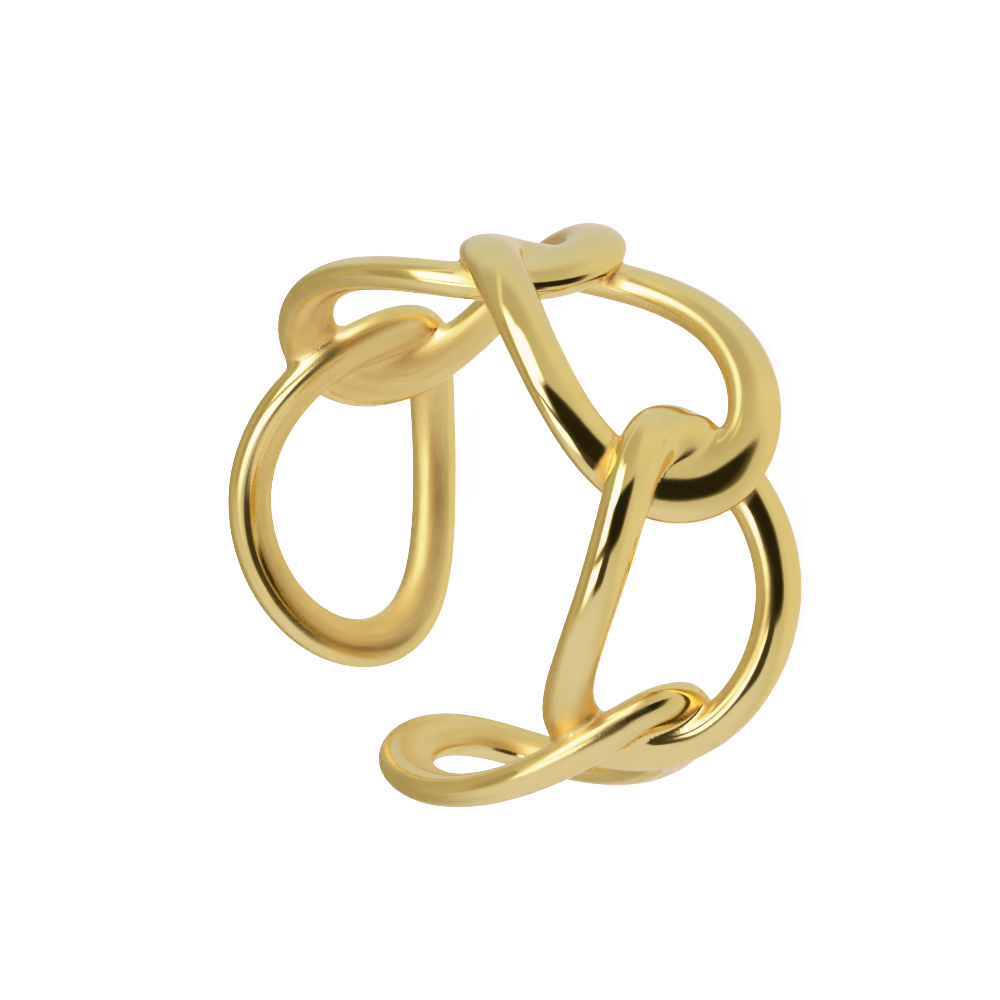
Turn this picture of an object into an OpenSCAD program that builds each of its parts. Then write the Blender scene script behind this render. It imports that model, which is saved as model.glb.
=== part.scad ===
// Chain ring: five twisted oval links, cast in one piece as an open ring.
// The ring lies on its side, with its axis along +Z and its opening towards -Y.
// The origin lies on the surface it rests on, below the middle of the ring.
// Sizes are in millimetres and angles in degrees, anticlockwise from +X seen from above.

/* [Ring] */
// Radius from the ring's axis to the middle of the wire
ring_radius = 10; // [9.4:0.1:10.6]
// How far the ring is drawn out to its left and right, and in at its front and back
ring_oval = 0.18; // [0:0.02:0.3]
// How far the upper rim stands out, and the lower rim in
ring_flare = 0.1; // [0:0.02:0.2]
// Height of the whole band as it lies, which is its width on the finger
band_width = 12.1; // [11.2:0.1:13]

/* [Link] */
// Half the length of a link's middle line, along the band
link_length = 6.65; // [6.4:0.05:7]
// Half the width of a link's middle line, across the band
link_width = 4.7; // [4.4:0.05:5]
// How a link's ends are rounded: 1 is an ellipse, and more is more pointed
link_point = 1.06; // [1:0.01:1.15]
// How far the twist lifts or sinks the wire where two links lie over one another
link_twist = 0.52; // [0.42:0.02:0.6]

/* [Wire] */
// Half the wire's width along a link's sides
wire_side = 1.04; // [0.96:0.02:1.2]
// Half the wire's width round a link's ends
wire_end = 1.1; // [1:0.02:1.24]
// Half the wire's thickness, in and out, along a link's sides
depth_side = 0.66; // [0.62:0.01:0.78]
// Half the wire's thickness, in and out, round a link's ends
depth_end = 0.7; // [0.66:0.01:0.82]

/* [Facets] */
// Sections round a link's wire
wire_rings = 72; // [48:2:76]
// Sides of one section of the wire
wire_sides = 14; // [10:16]

/* [Hidden] */

// One row for each link, clockwise round the ring from the free end at the front left.
// The angle and the lift are the link's own, and each other value is added to what all links share.
LINKS = [
    // angle, lift, length, width, out,   twist, slope, skew,  bow,   egg,   wire
    [215.4,   0.45, -0.25,  -0.2,   0.25, -0.1,  -0.3,   0,    -0.25,  0.03, -0.1],
    [153.6,   0,     0.1,    0.2,  -0.1,   0.05,  0.05,  0,    -0.2,   0.02,  0.1],
    [90,      0,     0.3,    0,     0,     0.05,  0.05,  0,     0,     0.1,   0.1],
    [25.4,    0,     0.15,   0.05, -0.1,   0.35,  0.2,  -0.1,   0,    -0.04,  0],
    [-38.2,   0,    -0.15,   0.1,  -0.1,  -0.2,  -0.1,  -0.05, -0.45,  0.11,  0],
];
// The columns of that table
ANGLE = 0;   // middle of the link, round the ring
LIFT = 1;    // height of the link's underside above the surface it rests on
LENGTH = 2;  // longer
WIDTH = 3;   // wider
OUT = 4;     // further from the axis
TWIST = 5;   // more twist
SLOPE = 6;   // clockwise end further out, and the other end further in
SKEW = 7;    // upper side shifted anticlockwise, for each millimetre across
BOW = 8;     // ends higher than the sides
EGG = 9;     // clockwise end wider, as a share of the width
WIRE = 10;   // wire wider on each side

DEGREES = 180 / PI;
STEP = 0.5;  // degrees between the two points that give the wire's direction

function unit(v) = v / norm(v);
function power(value, exponent) = sign(value) * pow(abs(value), exponent);

// A link's middle line as if the band lay flat: along the band (clockwise), across it (up) and out from it.
// turn is 0 at the link's clockwise end, 90 on its upper side, 180 at its other end and 270 on its lower side.
function flat_line(link, turn) =
    let (
        ends = power(cos(turn), link_point),
        sides = sin(turn),
        width = link_width + link[WIDTH],
        across = width * sides * (1 + link[EGG] * ends) + link[BOW] * (ends * ends - 0.5),
        along = (link_length + link[LENGTH]) * ends - link[SKEW] * across,
        middle = link[LIFT] + width + link[BOW] / 2 + wire_side + link[WIRE]
    )
    [along, middle + across,
     link[SLOPE] * ends - 2 * (link_twist + link[TWIST]) * ends * sides + ring_flare * sides];

// Where that point comes when the band is bent into the ring
function round_line(link, turn) =
    let (
        flat = flat_line(link, turn),
        angle = link[ANGLE] - flat.x / ring_radius * DEGREES,
        radius = ring_radius + ring_oval * cos(2 * angle) + link[OUT] + flat.z
    )
    [radius * cos(angle), radius * sin(angle), flat.y];

// One oval section of the wire, square to its middle line
function section(link, turn) =
    let (
        middle = round_line(link, turn),
        forward = unit(round_line(link, turn + STEP) - round_line(link, turn - STEP)),
        outward = unit([middle.x, middle.y, 0]),
        sideways = unit(cross(forward, outward)),
        level = cross(sideways, forward),
        end = cos(turn) * cos(turn),
        half_width = wire_side + (wire_end - wire_side) * end + link[WIRE],
        half_depth = depth_side + (depth_end - depth_side) * end
    )
    [for (side = [0 : wire_sides - 1])
        let (a = 360 * side / wire_sides)
        middle + sideways * half_width * cos(a) + level * half_depth * sin(a)];

function wire_points(link) =
    [for (ring = [0 : wire_rings - 1]) each section(link, 360 * ring / wire_rings)];

// Two triangles for each side of the wire between one section and the next
function wire_faces() =
    [for (ring = [0 : wire_rings - 1], side = [0 : wire_sides - 1])
        let (
            here = ring * wire_sides,
            there = (ring + 1) % wire_rings * wire_sides,
            next = (side + 1) % wire_sides
        )
        each [[here + side, here + next, there + next], [here + side, there + next, there + side]]];

// The box round all five links
ALL_POINTS = [for (link = LINKS) each wire_points(link)];
LOW = [for (axis = [0 : 2]) min([for (p = ALL_POINTS) p[axis]])];
HIGH = [for (axis = [0 : 2]) max([for (p = ALL_POINTS) p[axis]])];

module link_wire(link) {
    polyhedron(wire_points(link), wire_faces(), convexity = 4);
}

// The links overlap where they cross, so that they are one solid
module chain_band() {
    color([0.84, 0.7, 0.4])
    resize([0, 0, band_width])
    translate([-(LOW.x + HIGH.x) / 2, -(LOW.y + HIGH.y) / 2, -LOW.z])
    for (link = LINKS) link_wire(link);
}

chain_band();
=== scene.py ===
"""The looks of the chain ring: five twisted oval links of polished gold, cast in one piece.

The ring lies on its side. Its links are melted together as distance fields and meshed, and each point is
then moved onto the true surface.
"""

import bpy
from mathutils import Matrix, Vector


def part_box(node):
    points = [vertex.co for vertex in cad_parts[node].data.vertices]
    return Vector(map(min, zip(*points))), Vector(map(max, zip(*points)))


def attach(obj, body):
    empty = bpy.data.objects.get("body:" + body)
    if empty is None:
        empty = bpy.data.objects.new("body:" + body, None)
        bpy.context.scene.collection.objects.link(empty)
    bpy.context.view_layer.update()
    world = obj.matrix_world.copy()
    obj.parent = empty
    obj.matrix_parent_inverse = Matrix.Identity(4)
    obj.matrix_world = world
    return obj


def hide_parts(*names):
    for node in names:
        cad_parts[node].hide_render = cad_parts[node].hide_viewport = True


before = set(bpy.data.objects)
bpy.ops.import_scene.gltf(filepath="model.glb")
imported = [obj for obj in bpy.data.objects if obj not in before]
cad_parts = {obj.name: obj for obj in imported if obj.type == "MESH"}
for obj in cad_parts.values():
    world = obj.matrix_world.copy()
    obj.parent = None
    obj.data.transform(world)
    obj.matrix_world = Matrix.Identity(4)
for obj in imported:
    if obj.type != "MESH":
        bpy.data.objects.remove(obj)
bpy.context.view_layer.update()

import math
from collections import namedtuple

import bpy
import numpy as np
import openvdb
from mathutils import Matrix, Vector

MM = 0.001
TAU = 2 * math.pi

# The ring's sizes in millimetres, the same as in its solid
RING_RADIUS = 10.0     # from its axis to the middle of the wire
RING_OVAL = 0.18       # how far it is drawn out to its left and right, and in at its front and back
RING_FLARE = 0.1       # how far the upper rim stands out, and the lower rim in
LINK_LENGTH = 6.65     # half the length of a link's middle line
LINK_WIDTH = 4.7       # half its width
LINK_POINT = 1.06      # how its ends are rounded: 1 is an ellipse, and more is more pointed
LINK_TWIST = 0.52      # how far the twist lifts or sinks the wire where two links lie over one another
WIRE_SIDE = 1.04       # half the wire's width along a link's sides
WIRE_END = 1.1         # and round a link's ends
DEPTH_SIDE = 0.66      # half the wire's thickness, in and out, along a link's sides
DEPTH_END = 0.7        # and round a link's ends

# The links, clockwise from the one at the left of the opening. angle is a link's place round the ring in
# degrees, and lift is how high its underside lies. length, width, out, twist and wire are added to what all
# links share. slope puts its clockwise end further out, skew shifts its upper side anticlockwise, bow raises
# its ends, and egg widens its clockwise end.
Link = namedtuple("Link", "angle lift length width out twist slope skew bow egg wire")
LINKS = (
    Link(215.4, 0.45, -0.25, -0.2, 0.25, -0.1, -0.3, 0, -0.25, 0.03, -0.1),
    Link(153.6, 0, 0.1, 0.2, -0.1, 0.05, 0.05, 0, -0.2, 0.02, 0.1),
    Link(90, 0, 0.3, 0, 0, 0.05, 0.05, 0, 0, 0.1, 0.1),
    Link(25.4, 0, 0.15, 0.05, -0.1, 0.35, 0.2, -0.1, 0, -0.04, 0),
    Link(-38.2, 0, -0.15, 0.1, -0.1, -0.2, -0.1, -0.05, -0.45, 0.11, 0),
)
# How softly each link melts into the links before it, in millimetres
FILLETS = (0.5, 0.7, 0.45, 0.22, 0.6)

# The metal that fills each crossing: its place round the ring, above the floor and out from the radius, how
# far it leans, its half sizes, and how softly it melts into the links
Web = namedtuple("Web", "angle height out lean along across depth fillet")
WEBS = (
    Web(186, 5.7, 0, 0, 0.7, 1.1, 0.35, 0.8),
    Web(123.5, 5.8, 0, 0, 1.1, 1.7, 0.5, 0.8),
    Web(60.8, 5.35, -0.1, -22, 0.9, 1.7, 0.6, 0.8),
    Web(-4.5, 5.0, -0.05, -40, 0.6, 1.5, 0.4, 0.8),
    Web(-17.5, 3.2, 0.05, 50, 0.6, 1.5, 0.4, 1.6),
)

# The section's shape: 2 is a plain oval, and the wire's face towards the finger is a little flatter
OVAL_SHAPE = 2
INNER_SHAPE = 2.2

# In the next three tables link is a row of LINKS, counted from 0, turn is a place round it in degrees, and
# reach says how far the thing spreads to both sides of that place

# Where polishing has moved the crown off the wire's middle: towards the hole, in shares of half the width
Crown = namedtuple("Crown", "link turn reach shift")
CROWNS = (
    Crown(3, 122, 30, -0.35),
    Crown(3, 268, 45, 0.33),
    Crown(4, 168, 20, -0.35),
)
# Soft ripples along the wire, on its outer face (side 1) or inner face (side -1): their spacing, how much
# they slant and their height in millimetres
Ripple = namedtuple("Ripple", "link turn reach side spacing slant height")
RIPPLES = (
    Ripple(4, 15, 45, -1, 0.45, 0.3, 0.004),
    Ripple(3, -14, 30, 1, 0.55, 0.6, 0.02),
    Ripple(3, 165, 22, 1, 0.7, 0.6, 0.02),
    Ripple(4, 245, 25, 1, 0.5, 0.3, 0.02),
)
# Stretches that the polishing wheel hardly reached, and how satin they are
Dull = namedtuple("Dull", "link turn reach share")
DULL = (
    Dull(3, 58, 25, 0.8),
    Dull(0, 10, 30, 0.8),
    Dull(0, 175, 35, 0.7),
    Dull(1, 130, 30, 0.7),
    Dull(4, 40, 50, 0.5),
)
# The soft waves of hand polishing: their height in millimetres, and three swells with their radians for
# each millimetre along X, Y and Z and where each starts
WAVE_HEIGHT = 0.003
Swell = namedtuple("Swell", "x y z start")
SWELLS = (
    Swell(1.9, 0, 0.8, 0),
    Swell(0, 1.6, -1.2, 0.8),
    Swell(-0.9, 2.3, 1.3, 2),
)
THIRD_SWELL_SHARE = 0.7

# How satin the gold is: most on the face towards the finger, more so beside a link's hole and less so
# beside its rim. Each range runs from polished to satin.
HOLE_SHARE = 0.6
RIM_SHARE = 0.5
FACE_RANGE = (0.8, 0.95)
EDGE_RANGE = (0.7, 1.0)
EDGE_SATIN = 0.5       # how satin the wire's edge beside a hole gets at most
HOLLOW_RANGE = (0.4, 0.75)
HOLLOW_REACH = 1.0     # how far out from a face other metal is felt for, in millimetres

# How finely the smooth mesh is made, in millimetres and counts
VOXEL = 0.12
MARGIN = 8             # empty voxels round the ring
LEVEL_REACH = 1.6      # how far from the surface the volume is worked out
LINK_REACH = 2.9       # beyond this from its middle line a link has no say in the true surface
WEB_REACH = 3.0        # half the side of the cube in which a web is melted into the volume
TURNS = 360            # places along a link's middle line
SIDES = 48             # points round one section
STEP = math.radians(0.5)   # how far to each side of a turn the wire's direction is taken from
PROBE = 0.01           # how far to each side of a point the surface's slope is taken from
MOVES = 3              # how often the points are moved nearer to the surface
CROWN_DEPTH = 0.5      # the share of the wire's half depth from which a crown's shift is whole
TINY = 1e-9            # keeps a division by zero away
LINK_STRIDE = 10       # keeps the noise on one link apart from the next one's

# The gold's colours, each pair from its darkest to its palest, and its roughness, from least to most
BRIGHT_GOLD = ((0.86, 0.635, 0.195, 1), (0.9, 0.675, 0.225, 1))
SATIN_GOLD = ((0.85, 0.625, 0.195, 1), (0.92, 0.69, 0.24, 1))
# A paler gold painted into the hollows between links: a painted glow of light reflected back and forth
# between them
HOLLOW_GLOW_GOLD = (0.95, 0.69, 0.24, 1)
HOLLOW_GLOW_RANGE = (0.15, 0.7)               # how deep a hollow is where this colour starts and is fullest
HOLLOW_GLOW_SHARE = 0.9                       # and how much of it there is then
GOLD_EDGE = (0.95, 0.9, 0.8, 1)        # the gold's tint where it is seen at a low angle
POLISHED = (0.08, 0.12)
BRUSHED = (0.44, 0.52)
# Noise drawn out along the wire, with its cells for each millimetre across and along it, and its detail
WireNoise = namedtuple("WireNoise", "across along detail")
LINES = WireNoise(14, 0.5, 1)
STREAKS = WireNoise(2.6, 0.35, 2)
# Noise that is alike in all directions, with its cells for each metre
PlainNoise = namedtuple("PlainNoise", "scale detail")
CLOUDS = PlainNoise(600, 2)
PITS = PlainNoise(9000, 0)
# The range of noise that takes roughness and colour from one end of a pair to the other
ROUGH_CLOUDS = (0.3, 0.7)
PALE_CLOUDS = (0.25, 0.75)
PALE_STREAKS = (0.35, 0.65)
# How deep each relief is in metres, and how strongly it shows, from polished to satin
PIT_DEPTH, PIT_STRENGTH = 0.00001, (0.05, 0.25)
STREAK_DEPTH, STREAK_STRENGTH = 0.00006, (0.02, 0.5)
LINE_DEPTH, LINE_STRENGTH = 0.00001, 0.06

# The floor: half its size in metres, its grey and roughness, and the white light on it
FLOOR_HALF = 3.0
FLOOR_GREY = 0.9
FLOOR_ROUGHNESS = 0.9
FLOOR_LIGHT = 8

# The camera as it stood for the photo: its directions to the right and back, its distance and nearest sight
# in metres, and its lens and sensor in millimetres
CAMERA_RIGHT = Vector((0.4955, 0.4126, -0.7644))
CAMERA_BACK = Vector((0.5145, 0.5696, 0.641))
CAMERA_DISTANCE = 0.6998
CAMERA_NEAREST = 0.01
CAMERA_LENS = 662.5
CAMERA_SENSOR = 36
# Where it aims: millimetres right and up of a point on the ring's axis, and that point's height
CAMERA_AIM = Vector((-0.826, 0.663))
AIM_HEIGHT = 5.6

# How bright light is shown: all three colours together, and then how blue it turns out
TONE_WHITE = 3.5       # the light that is shown as full white
TONES = ((0.2, 0.2), (0.6, 0.6), (1.0, 0.85), (2.0, 0.95), (3.0, 0.985))
BLUES = ((0.2, 0.2), (0.35, 0.39), (0.6, 0.73), (0.8, 0.89))
BLUE_CURVE = 2         # the view's curve for blue, and its curve for all three colours
ALL_CURVE = 3

# Panels of the light tent: degrees right and up of the middle, half sizes in degrees, tilt, soft edge and
# brightness. The front panels lie round the camera's direction, and the back ones round the opposite one.
# Each panel lies over those before it.
Panel = namedtuple("Panel", "x y half_width half_height tilt edge colour")
TENT = (0.54, 0.53, 0.56)   # how bright the tent is between them
LEAST_ASIDE = 1e-4     # keeps the maps whole at their very middle
FRONT_PANELS = (
    Panel(95, -20, 60, 100, 0, 0.5, (0.68, 0.67, 0.84)),
    Panel(0, -92, 80, 58, 0, 0.35, (0.8, 0.83, 1.3)),
    Panel(0, 130, 110, 40, 0, 0.4, (0.54, 0.56, 0.78)),
    Panel(-58, 12, 10, 28, 0, 0.5, (0.43, 0.41, 0.35)),
    Panel(-21, 22, 17, 48, -5, 0.2, (3.6, 3.3, 4.3)),
    Panel(0, 48, 17, 17, 0, 0.2, (3.6, 3.3, 4.3)),
    Panel(-8, -14, 13, 10, 0, 0.2, (3.6, 3.3, 4.3)),
    Panel(43, 11, 36, 25, 0, 0.12, (0.13, 0.11, 0.05)),
    Panel(38, 13, 33, 23, 0, 0.15, (0.02, 0.018, 0.01)),
    Panel(24, -22, 20, 14, 0, 0.25, (0.06, 0.05, 0.03)),
    Panel(-3, -1, 24, 6, 0, 0.4, (0.06, 0.05, 0.03)),
    Panel(-28, 1, 14, 4, 0, 0.5, (0.25, 0.23, 0.16)),
    Panel(-14, 88, 26, 3, 45, 0.8, (0.95, 0.95, 0.95)),
)
BACK_PANELS = (
    Panel(30, 20, 52, 52, 0, 0.25, (0.82, 0.82, 0.98)),
    Panel(-45, -10, 30, 50, 0, 0.6, (0.45, 0.44, 0.44)),
    Panel(5, 44, 36, 20, 0, 0.5, (0.72, 0.79, 1.15)),
)


def unit(v):
    return v / np.linalg.norm(v, axis=-1, keepdims=True)


def smooth(share):
    """A share from 0 to 1 that starts and ends softly."""
    share = np.clip(share, 0, 1)
    return share * share * (3 - 2 * share)


def rise(value, low, high):
    """How far a value has gone from low to high, starting and ending softly."""
    return smooth((value - low) / (high - low))


def near_turn(turn, middle, reach):
    """How near each turn is to a middle turn, as a bell, and how far from it the turn is."""
    away = (turn - math.radians(middle) + math.pi) % TAU - math.pi
    return np.exp(-(away / math.radians(reach)) ** 2), away


def middle_line(link, turn):
    """Points on a link's middle line. turn is 0 at its clockwise end and a quarter on its upper side."""
    cosine, sides = np.cos(turn), np.sin(turn)
    ends = np.sign(cosine) * np.abs(cosine) ** LINK_POINT
    width = LINK_WIDTH + link.width
    across = width * sides * (1 + link.egg * ends) + link.bow * (ends ** 2 - 0.5)
    along = (LINK_LENGTH + link.length) * ends - link.skew * across
    height = link.lift + width + link.bow / 2 + WIRE_SIDE + link.wire + across
    out = link.slope * ends - 2 * (LINK_TWIST + link.twist) * ends * sides + RING_FLARE * sides
    angle = np.radians(link.angle) - along / RING_RADIUS
    radius = RING_RADIUS + RING_OVAL * np.cos(2 * angle) + link.out + out
    return np.stack([radius * np.cos(angle), radius * np.sin(angle), height], -1)


def sections(link, turn):
    """The wire's middle, direction and two half sizes at each turn, with the axes that they lie along."""
    middle = middle_line(link, turn)
    speed = (middle_line(link, turn + STEP) - middle_line(link, turn - STEP)) / (2 * STEP)
    forward = unit(speed)
    sideways = unit(np.cross(forward, unit(middle * (1, 1, 0))))
    level = np.cross(sideways, forward)
    end = np.cos(turn) ** 2
    half_width = WIRE_SIDE + (WIRE_END - WIRE_SIDE) * end + link.wire
    half_depth = DEPTH_SIDE + (DEPTH_END - DEPTH_SIDE) * end
    return middle, speed, sideways, level, half_width, half_depth


def tube(link):
    """The link's wire as points, and the four-sided faces between them."""
    turn = np.linspace(0, TAU, TURNS, endpoint=False)
    side = np.linspace(0, TAU, SIDES, endpoint=False)
    middle, _, sideways, level, half_width, half_depth = sections(link, turn)
    points = (middle[:, None]
              + sideways[:, None] * (half_width[:, None] * np.cos(side))[..., None]
              + level[:, None] * (half_depth[:, None] * np.sin(side))[..., None])
    number = np.arange(TURNS * SIDES).reshape(TURNS, SIDES)
    after = np.roll(number, -1, 0)
    quads = np.stack([number, np.roll(number, -1, 1), np.roll(after, -1, 1), after], -1)
    return points.reshape(-1, 3), quads.reshape(-1, 4)


def melt(a, b, fillet):
    """The nearer of two distances, with a soft hollow where both are near: a cubic smooth minimum."""
    near = np.maximum(fillet - np.abs(a - b), 0) / fillet
    return np.minimum(a, b) - near ** 3 * fillet / 6


def web_frame(web):
    """A web's middle, and the three directions along, across and out of the band there."""
    angle = math.radians(web.angle)
    out = np.array((math.cos(angle), math.sin(angle), 0))
    level = np.array((-out[1], out[0], 0))
    up = np.array((0, 0, 1.0))
    lean = math.radians(web.lean)
    along = level * math.cos(lean) - up * math.sin(lean)
    across = up * math.cos(lean) + level * math.sin(lean)
    return out * (RING_RADIUS + web.out) + up * web.height, np.stack((along, across, out))


def web_distance(web, points):
    """How far each point lies outside the web's oval lump."""
    middle, axes = web_frame(web)
    sizes = np.array((web.along, web.across, web.depth))
    offset = (points - middle) @ axes.T
    reach = np.linalg.norm(offset / sizes, axis=1) + TINY
    slope = np.linalg.norm(offset / sizes ** 2, axis=1) + TINY
    return reach * (reach - 1) / slope


def melt_web(field, web, low):
    """Melts a web into the part of the field round it. low is the field's first voxel."""
    middle = web_frame(web)[0] / VOXEL - low
    first = np.maximum(middle - WEB_REACH / VOXEL, 0).astype(int)
    last = (middle + WEB_REACH / VOXEL).astype(int)
    part = field[tuple(slice(a, b) for a, b in zip(first, last))]
    places = (np.indices(part.shape).reshape(3, -1).T + first + low) * VOXEL
    part[:] = melt(part, web_distance(web, places).reshape(part.shape), web.fillet)


def rough_mesh():
    """A mesh of all links and webs melted together, good to a few hundredths of a millimetre."""
    tubes = [tube(link) for link in LINKS]
    points = np.concatenate([p for p, _ in tubes])
    low = np.floor(points.min(0) / VOXEL).astype(int) - MARGIN
    size = np.ceil(points.max(0) / VOXEL).astype(int) + MARGIN + 1 - low
    scale = openvdb.createLinearTransform(VOXEL)
    field = np.full(size, LEVEL_REACH, np.float32)
    for (points, quads), fillet in zip(tubes, FILLETS):
        grid = openvdb.FloatGrid.createLevelSetFromPolygons(
            points.astype(np.float32), quads=quads.astype(np.uint32), transform=scale,
            halfWidth=LEVEL_REACH / VOXEL)
        own = np.empty(size, np.float32)
        grid.copyToArray(own, ijk=tuple(int(i) for i in low))
        field = melt(field, own, fillet)
    for web in WEBS:
        melt_web(field, web, low)
    grid = openvdb.FloatGrid(LEVEL_REACH)
    grid.copyFromArray(field)
    verts, quads = grid.convertToQuads(0)
    return (verts + low) * VOXEL, quads


def near_links(points):
    """For each link: the points near it, and the turn of its middle line nearest to each."""
    turns = np.linspace(0, TAU, TURNS, endpoint=False)
    found = []
    for link in LINKS:
        line = middle_line(link, turns)
        squares = (line ** 2).sum(1) - 2 * points @ line.T
        best = squares.argmin(1)
        distance = squares[np.arange(len(points)), best] + (points ** 2).sum(1)
        index = np.flatnonzero(distance < LINK_REACH ** 2)
        found.append((link, index, turns[best[index]]))
    return found


def settle(link, points, turn, rounds):
    """Moves each turn along the middle line to where it is nearest to its point."""
    for _ in range(rounds):
        middle, speed = sections(link, turn)[:2]
        turn = turn + ((points - middle) * speed).sum(1) / (speed ** 2).sum(1)
    return turn


def ripples(link, turn, u, side):
    """The height of the soft ripples at a place u across the wire. side is 1 outside and -1 inside."""
    total = np.zeros(len(turn))
    for ripple in RIPPLES:
        if LINKS[ripple.link] is link:
            share, away = near_turn(turn, ripple.turn, ripple.reach)
            bands = np.cos(TAU * (u + ripple.slant * away) / ripple.spacing)
            total += ripple.height * share * smooth(side * ripple.side) * bands
    return total


def crown_shift(link, turn):
    """How far the outer face's crown lies off the wire's middle, in shares of half its width."""
    total = np.zeros(len(turn))
    for crown in CROWNS:
        if LINKS[crown.link] is link:
            total += crown.shift * near_turn(turn, crown.turn, crown.reach)[0]
    return total


def dullness(link, turn):
    """How satin the wire is at each turn because polishing hardly reached it."""
    most = np.zeros(len(turn))
    for patch in DULL:
        if LINKS[patch.link] is link:
            most = np.maximum(most, patch.share * near_turn(turn, patch.turn, patch.reach)[0])
    return most


def wire_distance(link, points, turn):
    """How far each point lies outside the link's wire."""
    middle, _, sideways, level, half_width, half_depth = sections(link, turn)
    u = ((points - middle) * sideways).sum(1)
    v = ((points - middle) * level).sum(1)
    share = u / half_width
    outward = v / half_depth
    share = share - crown_shift(link, turn) * np.maximum(1 - share ** 2, 0) * smooth(outward / CROWN_DEPTH)
    across, deep = np.abs(share) + TINY, np.abs(outward) + TINY
    shape = OVAL_SHAPE + (INNER_SHAPE - OVAL_SHAPE) * smooth(-outward)
    reach = (across ** shape + deep ** shape) ** (1 / shape)
    slope = np.hypot(across ** (shape - 1) / half_width, deep ** (shape - 1) / half_depth)
    return (reach - 1) * reach ** (shape - 1) / slope - ripples(link, turn, u, outward)


def wave(points):
    """The soft waves that polishing by hand leaves."""
    first, second, third = (points @ np.array(swell[:3]) + swell.start for swell in SWELLS)
    return WAVE_HEIGHT * (np.sin(first) * np.cos(second) + THIRD_SWELL_SHARE * np.sin(third))


def band_distance(points, near):
    """How far each point lies outside the whole band."""
    total = np.full(len(points), LINK_REACH)
    for (link, index, turn), fillet in zip(near, FILLETS):
        own = wire_distance(link, points[index], settle(link, points[index], turn, 1))
        total[index] = melt(total[index], own, fillet)
    for web in WEBS:
        total = melt(total, web_distance(web, points), web.fillet)
    return total + wave(points)


def satin_share(inside, lean, end, hollow):
    """How satin the gold is: towards the finger, a little round a link's hole, and in the hollows.

    inside says how much a face looks towards the ring's axis, lean how far it lies towards the link's hole
    (1) or its rim (-1), and end how near it is to a link's end.
    """
    facing = inside + HOLE_SHARE * np.maximum(lean, 0) - RIM_SHARE * np.maximum(-lean, 0) * (1 - end)
    edge = EDGE_SATIN * rise(lean, *EDGE_RANGE) * (1 - end)
    return np.maximum(np.maximum(rise(facing, *FACE_RANGE), edge), rise(hollow, *HOLLOW_RANGE))


def wire_marks(verts, normals, near):
    """Each point's place across and along its wire, how satin it is, and how deep it lies in a hollow."""
    nearest = np.full(len(verts), LINK_REACH)
    place = np.zeros((len(verts), 4))
    lean, end, dull = np.zeros((3, len(verts)))
    length = (LINK_LENGTH + LINK_WIDTH) / 2
    for number, (link, index, turn) in enumerate(near):
        turn = settle(link, verts[index], turn, 1)
        own = wire_distance(link, verts[index], turn)
        middle, _, sideways, level, half_width, _ = sections(link, turn)
        offset = verts[index] - middle
        u = (offset * sideways).sum(1)
        spot = np.stack([u, (offset * level).sum(1) + LINK_STRIDE * number,
                         length * np.cos(turn), length * np.sin(turn)], -1)
        closer = own < nearest[index]
        place[index[closer]] = spot[closer]
        lean[index[closer]] = (u / half_width)[closer]
        end[index[closer]] = np.cos(turn[closer]) ** 2
        dull[index[closer]] = np.maximum(dull[index[closer]], dullness(link, turn)[closer])
        nearest[index] = np.minimum(nearest[index], own)
    outward = unit(verts * (1, 1, 0))
    inside = np.clip(-(normals * outward).sum(1), 0, 1)
    hollow = np.clip(1 - band_distance(verts + normals * HOLLOW_REACH, near) / HOLLOW_REACH, 0, 1)
    return place, np.maximum(satin_share(inside, lean, end, hollow), dull), hollow


def smooth_mesh():
    """The melted mesh with every point moved onto the true surface, and the true normal there."""
    verts, quads = rough_mesh()
    near = [(link, index, settle(link, verts[index], turn, 2)) for link, index, turn in near_links(verts)]
    for _ in range(MOVES):
        slope = np.stack([
            (band_distance(verts + axis, near) - band_distance(verts - axis, near)) / (2 * PROBE)
            for axis in np.eye(3) * PROBE
        ], -1)
        gap = band_distance(verts, near)
        verts = verts - slope * (gap / (slope ** 2).sum(1))[:, None]
    normals = unit(slope)
    return verts, quads, normals, wire_marks(verts, normals, near)


def mesh_from(verts, quads, normals):
    """A smooth mesh that is shaded by its true normals."""
    mesh = bpy.data.meshes.new("gold_band")
    mesh.vertices.add(len(verts))
    mesh.vertices.foreach_set("co", verts.astype(np.float32).ravel())
    mesh.loops.add(quads.size)
    mesh.loops.foreach_set("vertex_index", quads.astype(np.int32).ravel())
    mesh.polygons.add(len(quads))
    mesh.polygons.foreach_set("loop_start", np.arange(0, quads.size, 4, dtype=np.int32))
    mesh.update(calc_edges=True)
    mesh.validate()
    mesh.shade_smooth()
    mesh.normals_split_custom_set_from_vertices(normals.tolist())
    return mesh


def build_band():
    """The ring's one piece, centred in its solid's box, and how far it was moved for that in millimetres."""
    verts, quads, normals, (place, satin, hollow) = smooth_mesh()
    low, high = (np.array(corner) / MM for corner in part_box("chain_band"))
    shift = (low + high - verts.min(0) - verts.max(0)) / 2
    mesh = mesh_from((verts + shift) * MM, quads, normals)
    for name, kind, key, values in (("wire_place", "FLOAT_VECTOR", "vector", place[:, :3]),
                                    ("wire_turn", "FLOAT", "value", place[:, 3]),
                                    ("satin", "FLOAT", "value", satin),
                                    ("hollow", "FLOAT", "value", hollow)):
        layer = mesh.attributes.new(name, kind, "POINT")
        layer.data.foreach_set(key, values.astype(np.float32).ravel())
    band = bpy.data.objects.new("gold_band", mesh)
    bpy.context.scene.collection.objects.link(band)
    return band, shift


def node(tree, kind, inputs=(), **settings):
    """Adds a node, sets it up, and fills or joins its inputs."""
    made = tree.nodes.new(kind)
    for name, value in settings.items():
        setattr(made, name, value)
    for name, value in dict(inputs).items():
        if isinstance(value, bpy.types.NodeSocket):
            tree.links.new(value, made.inputs[name])
        else:
            made.inputs[name].default_value = value
    return made


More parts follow.
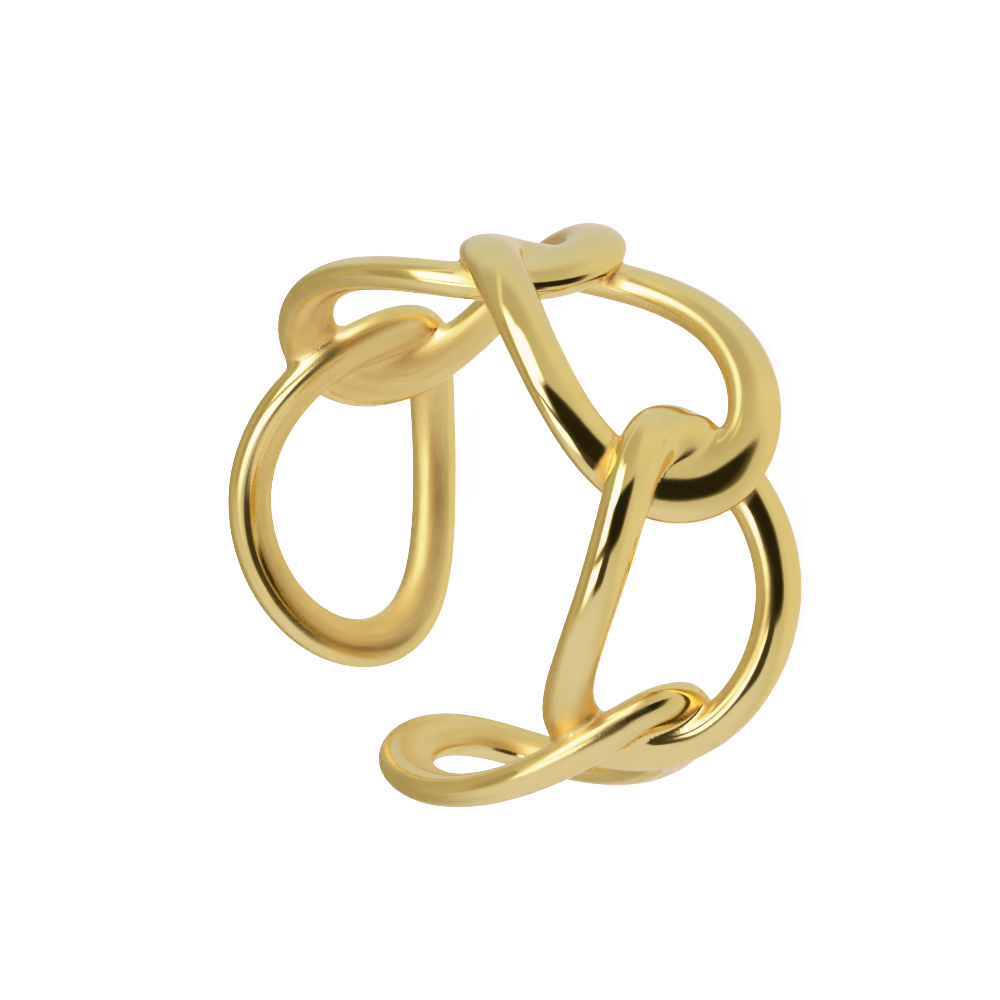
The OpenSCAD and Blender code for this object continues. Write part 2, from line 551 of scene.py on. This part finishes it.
def blend(tree, share, a, b):
    """A colour that goes from a to b."""
    return node(tree, "ShaderNodeMix", {0: share, 6: a, 7: b}, data_type="RGBA").outputs[2]


def spread(tree, value, low, high, to_low, to_high):
    """A value carried from one range to another, without going past its ends."""
    inputs = {"Value": value, "From Min": low, "From Max": high, "To Min": to_low, "To Max": to_high}
    return node(tree, "ShaderNodeMapRange", inputs, interpolation_type="SMOOTHSTEP").outputs["Result"]


def mark(tree, name, output="Fac"):
    """One of the values that the mesh holds at each point."""
    return node(tree, "ShaderNodeAttribute", attribute_name=name).outputs[output]


def plain_noise(tree, kind):
    """Noise that is alike in all directions."""
    place = node(tree, "ShaderNodeTexCoord").outputs["Object"]
    inputs = {"Vector": place, "Scale": kind.scale, "Detail": kind.detail}
    return node(tree, "ShaderNodeTexNoise", inputs).outputs["Fac"]


def wire_noise(tree, kind):
    """Noise that is drawn out along the wire and runs round each link without a seam."""
    stretch = (kind.across, kind.across, kind.along)
    place = node(tree, "ShaderNodeVectorMath", {0: mark(tree, "wire_place", "Vector"), 1: stretch},
                 operation="MULTIPLY").outputs[0]
    turn = node(tree, "ShaderNodeMath", {0: mark(tree, "wire_turn"), 1: kind.along},
                operation="MULTIPLY").outputs[0]
    inputs = {"Vector": place, "W": turn, "Scale": 1, "Detail": kind.detail}
    return node(tree, "ShaderNodeTexNoise", inputs, noise_dimensions="4D").outputs["Fac"]


def bump(tree, height, strength, depth, under=None):
    """The normal of a relief that is laid over the one under it."""
    inputs = {"Strength": strength, "Distance": depth, "Height": height}
    if under is not None:
        inputs["Normal"] = under
    return node(tree, "ShaderNodeBump", inputs).outputs[0]


def gold_roughness(tree, satin, clouds):
    polished = spread(tree, clouds, *ROUGH_CLOUDS, *POLISHED)
    brushed = spread(tree, clouds, *ROUGH_CLOUDS, *BRUSHED)
    return node(tree, "ShaderNodeMix", {0: satin, 2: polished, 3: brushed}).outputs[0]


def gold_colour(tree, satin, hollow, clouds, streaks):
    bright = blend(tree, spread(tree, clouds, *PALE_CLOUDS, 0, 1), *BRIGHT_GOLD)
    dull = blend(tree, spread(tree, streaks, *PALE_STREAKS, 0, 1), *SATIN_GOLD)
    # Painted glow in the hollows: the deeper a point lies between links, the more it is painted the paler
    # hollow gold, standing in for light reflected between them
    depth = spread(tree, hollow, *HOLLOW_GLOW_RANGE, 0, HOLLOW_GLOW_SHARE)
    return blend(tree, depth, blend(tree, satin, bright, dull), HOLLOW_GLOW_GOLD)


def gold_relief(tree, satin, streaks):
    """Tiny pits, then soft streaks and last fine lines along the wire, each laid over the one before."""
    normal = bump(tree, plain_noise(tree, PITS), spread(tree, satin, 0, 1, *PIT_STRENGTH), PIT_DEPTH)
    normal = bump(tree, streaks, spread(tree, satin, 0, 1, *STREAK_STRENGTH), STREAK_DEPTH, normal)
    return bump(tree, wire_noise(tree, LINES), LINE_STRENGTH, LINE_DEPTH, normal)


def gold_material():
    material = bpy.data.materials.new("polished_gold")
    material.use_nodes = True
    tree = material.node_tree
    shader = tree.nodes["Principled BSDF"]
    satin, hollow = mark(tree, "satin"), mark(tree, "hollow")
    clouds = plain_noise(tree, CLOUDS)
    streaks = wire_noise(tree, STREAKS)
    tree.links.new(gold_roughness(tree, satin, clouds), shader.inputs["Roughness"])
    tree.links.new(gold_colour(tree, satin, hollow, clouds, streaks), shader.inputs["Base Color"])
    tree.links.new(gold_relief(tree, satin, streaks), shader.inputs["Normal"])
    shader.inputs["Metallic"].default_value = 1.0
    shader.inputs["Specular Tint"].default_value = GOLD_EDGE
    return material


def dress(band):
    band.data.materials.append(gold_material())
    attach(band, "root")
    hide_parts("chain_band")


def add_floor():
    mesh = bpy.data.meshes.new("floor")
    corners = [(x * FLOOR_HALF, y * FLOOR_HALF, 0) for x, y in ((-1, -1), (1, -1), (1, 1), (-1, 1))]
    mesh.from_pydata(corners, [], [(0, 1, 2, 3)])
    floor = bpy.data.objects.new("floor", mesh)
    bpy.context.scene.collection.objects.link(floor)
    material = bpy.data.materials.new("pale_floor")
    material.use_nodes = True
    shader = material.node_tree.nodes["Principled BSDF"]
    shader.inputs["Base Color"].default_value = (FLOOR_GREY, FLOOR_GREY, FLOOR_GREY, 1)
    shader.inputs["Roughness"].default_value = FLOOR_ROUGHNESS
    mesh.materials.append(material)
    floor.visible_glossy = False


def camera_axes():
    """The camera's directions to the right, up and back."""
    back = CAMERA_BACK.normalized()
    right = (CAMERA_RIGHT - back * CAMERA_RIGHT.dot(back)).normalized()
    return right, back.cross(right), back


def add_camera(shift):
    """shift is how far the ring's axis lies from the frame's, in millimetres."""
    right, up, back = camera_axes()
    data = bpy.data.cameras.new("camera")
    data.sensor_width = CAMERA_SENSOR
    data.lens = CAMERA_LENS
    data.clip_start = CAMERA_NEAREST
    camera = bpy.data.objects.new("camera", data)
    bpy.context.scene.collection.objects.link(camera)
    axis = Vector((shift[0], shift[1], AIM_HEIGHT)) * MM
    place = axis + back * CAMERA_DISTANCE + (right * CAMERA_AIM.x + up * CAMERA_AIM.y) * MM
    turn = Matrix((right, up, back)).transposed()
    camera.matrix_world = Matrix.Translation(place) @ turn.to_4x4()
    bpy.context.scene.camera = camera


def tent_colour(tree, colour, chart, panels):
    """Lays the panels over the colour. chart gives degrees right and up of the panels' middle."""
    for panel in panels:
        inputs = {
            "Vector": chart,
            "Location": (panel.x, panel.y, 0),
            "Rotation": (0, 0, math.radians(panel.tilt)),
            "Scale": (panel.half_width, panel.half_height, 1),
        }
        place = node(tree, "ShaderNodeMapping", inputs, vector_type="TEXTURE").outputs[0]
        square = node(tree, "ShaderNodeVectorMath", {0: place, 1: place}, operation="MULTIPLY").outputs[0]
        reach = node(tree, "ShaderNodeVectorMath", {0: square}, operation="LENGTH").outputs["Value"]
        share = spread(tree, reach, (1 - panel.edge) ** 2, (1 + panel.edge) ** 2, 1, 0)
        colour = blend(tree, share, colour, (*panel.colour, 1))
    return colour


def tent_charts(tree):
    """Two flat maps of all directions, in degrees right and up of the camera's and of the opposite one."""
    direction = node(tree, "ShaderNodeTexCoord").outputs["Generated"]

    def math_node(kind, a, b=0.0):
        return node(tree, "ShaderNodeMath", {0: a, 1: b}, operation=kind).outputs[0]

    def share_of(axis):
        return node(tree, "ShaderNodeVectorMath", {0: direction, 1: axis},
                    operation="DOT_PRODUCT").outputs["Value"]

    right, up, back = (share_of(axis) for axis in camera_axes())
    angle = math_node("DEGREES", math_node("ARCCOSINE", back))
    aside = math_node("SQRT", math_node("SUBTRACT", 1.0, math_node("MULTIPLY", back, back)))
    aside = math_node("MAXIMUM", aside, LEAST_ASIDE)
    heading = node(tree, "ShaderNodeCombineXYZ", {0: math_node("DIVIDE", right, aside),
                                                  1: math_node("DIVIDE", up, aside)}).outputs[0]
    return [node(tree, "ShaderNodeVectorMath", {0: heading, "Scale": degrees}, operation="SCALE").outputs[0]
            for degrees in (angle, math_node("SUBTRACT", 180.0, angle))]


def add_tent():
    """The ring reflects the tent, and the floor and the camera see plain white light."""
    world = bpy.data.worlds.new("light_tent")
    bpy.context.scene.world = world
    world.use_nodes = True
    tree = world.node_tree
    tree.nodes.clear()
    front, behind = tent_charts(tree)
    colour = tent_colour(tree, (*TENT, 1), front, FRONT_PANELS)
    colour = tent_colour(tree, colour, behind, BACK_PANELS)
    glossy = node(tree, "ShaderNodeLightPath").outputs["Is Glossy Ray"]
    tent = node(tree, "ShaderNodeBackground", {"Color": colour}).outputs[0]
    plain = node(tree, "ShaderNodeBackground", {"Color": (1, 1, 1, 1), "Strength": FLOOR_LIGHT}).outputs[0]
    light = node(tree, "ShaderNodeMixShader", {0: glossy, 1: plain, 2: tent}).outputs[0]
    node(tree, "ShaderNodeOutputWorld", {"Surface": light})
    world.cycles.sampling_method = "NONE"


def soften_highlights():
    """The photo's tones: bright gold pales towards white instead of turning lemon yellow."""
    view = bpy.context.scene.view_settings
    view.view_transform = "Standard"
    view.use_curve_mapping = True
    mapping = view.curve_mapping
    mapping.white_level = (TONE_WHITE,) * 3
    for light, shown in TONES:
        mapping.curves[ALL_CURVE].points.new(light / TONE_WHITE, shown)
    for blue, shown in BLUES:
        mapping.curves[BLUE_CURVE].points.new(blue, shown)
    mapping.update()


soften_highlights()
band, axis_shift = build_band()
dress(band)
add_floor()
add_camera(axis_shift)
add_tent()
